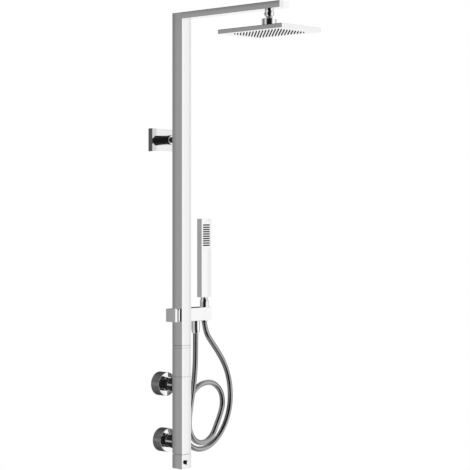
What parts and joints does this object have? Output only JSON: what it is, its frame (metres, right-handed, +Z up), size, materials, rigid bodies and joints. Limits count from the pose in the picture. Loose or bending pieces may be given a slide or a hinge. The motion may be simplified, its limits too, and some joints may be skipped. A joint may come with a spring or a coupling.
{
  "type": "rainfall shower column",
  "caption": "Wall-mounted thermostatic shower column with a square riser, an arm, a flat overhead head on a ball joint, and a stick hand shower on a looped hose.",
  "frame": {"origin": "middle of the wall plate's back face, on the wall plane", "axes": "+Z up, +Y into the wall, so the arm reaches towards -Y; +X is to the right of someone facing the wall"},
  "size_m": [0.2813, 0.5124, 1.2],
  "materials": {
    "chrome": "polished",
    "hose_metal": "satin, fine spiral",
    "spray_steel": "polished",
    "handset_chrome": "polished",
    "brass": "machined",
    "steel": "satin",
    "dark_rubber": "matte",
    "engineering_plastic": "matte",
    "ceramic": "lapped",
    "button_chrome": "polished"
  },
  "bodies": {
    "column_body": {"riser_tube": "chrome", "riser_top_cap": "chrome", "arm_tube": "chrome", "arm_end_cap": "chrome", "riser_collar": "chrome", "valve_housing": "chrome", "union_nuts": "chrome", "wall_flanges": "chrome", "wall_plate": "chrome", "standoff_stem": "chrome", "standoff_sleeve": "chrome", "crossbar_body": "chrome", "hose_outlet_nut": "chrome", "ball_stem": "chrome", "hose": "hose_metal", "arm_outlet_block": "brass", "water_pipe": "brass", "riser_coupling": "brass", "valve_core": "brass", "manifold": "brass", "hand_valve_cartridge": "brass", "hose_outlet": "brass", "lower_eccentric_union": "brass", "upper_eccentric_union": "brass", "wall_backplate": "steel", "anchor_nut": "steel", "set_screws": "steel", "filter_gaskets": "steel", "stem_o_ring": "dark_rubber", "outlet_washer": "dark_rubber", "thermostatic_cartridge": "engineering_plastic", "flow_cartridge": "engineering_plastic", "check_valves": "engineering_plastic", "holder_liner": "engineering_plastic"},
    "temp_handle_body": {"temp_handle": "chrome", "temp_handle_hub": "brass", "temp_handle_screw": "steel", "button_spring": "steel"},
    "stop_button_body": {"stop_button": "button_chrome"},
    "thermo_element_body": {"thermostatic_element": "engineering_plastic", "thermostat_spring": "steel"},
    "flow_handle_body": {"flow_handle": "chrome", "flow_sleeve": "brass", "ceramic_disc": "ceramic"},
    "hand_knob_body": {"hand_knob": "chrome", "hand_knob_spindle": "brass"},
    "ball_seat_body": {"ball_seat": "engineering_plastic"},
    "ball_seal_body": {"ball_seal": "dark_rubber"},
    "head_body": {"ball_nut": "chrome", "head_shell": "chrome", "head_face_plate": "spray_steel", "head_nozzles": "dark_rubber", "head_seal": "dark_rubber", "flow_regulator": "engineering_plastic"},
    "hose_cone_body": {"hose_cone": "chrome", "hose_washer": "dark_rubber"},
    "handset_body": {"handset_spigot": "brass", "handset_shell": "handset_chrome", "handset_face": "handset_chrome", "handset_nozzles": "dark_rubber"}
  },
  "joints": [
    {"name": "temp_handle_turn", "type": "hinge", "parent": "column_body", "child": "temp_handle_body", "pos_m": [0, -0.081, -0.849], "axis": [0, 0, 1], "range_deg": [-90, 180]},
    {"name": "stop_button_press", "type": "slide", "parent": "temp_handle_body", "child": "stop_button_body", "axis": [0, 1, 0], "range_m": [0, 0.002], "stiffness_N_per_m": 400, "springref_m": -0.001},
    {"name": "thermo_element_slide", "type": "slide", "parent": "column_body", "child": "thermo_element_body", "axis": [0, 0, 1], "range_m": [-0.0005, 0.001], "deforming": ["thermostat_spring"]},
    {"name": "flow_handle_turn", "type": "hinge", "parent": "column_body", "child": "flow_handle_body", "pos_m": [0, -0.081, -0.587], "axis": [0, 0, 1], "range_deg": [-90, 90]},
    {"name": "hand_knob_turn", "type": "hinge", "parent": "column_body", "child": "hand_knob_body", "pos_m": [0, -0.07775, -0.463], "axis": [1, 0, 0], "range_deg": [0, 90]},
    {"name": "head_tilt_x", "type": "hinge", "parent": "column_body", "child": "ball_seat_body", "pos_m": [0, -0.3905, 0.28], "axis": [1, 0, 0], "range_deg": [-12, 12]},
    {"name": "head_tilt_y", "type": "hinge", "parent": "ball_seat_body", "child": "ball_seal_body", "pos_m": [0, -0.3905, 0.28], "axis": [0, 1, 0], "range_deg": [-12, 12]},
    {"name": "head_swivel", "type": "hinge", "parent": "ball_seal_body", "child": "head_body", "pos_m": [0, -0.3905, 0.28], "axis": [0, 0, 1], "continuous": true},
    {"name": "handset_lift", "type": "slide", "parent": "column_body", "child": "hose_cone_body", "axis": [0, 0, 1], "range_m": [0, 0.1]},
    {"name": "handset_turn", "type": "hinge", "parent": "hose_cone_body", "child": "handset_body", "pos_m": [0.0883, -0.07775, -0.41945], "axis": [0, 0, 1], "continuous": true}
  ],
  "couplings": [
    {"joint": "thermo_element_slide", "follows": "temp_handle_turn", "m_per_rad": 0.00024}
  ]
}
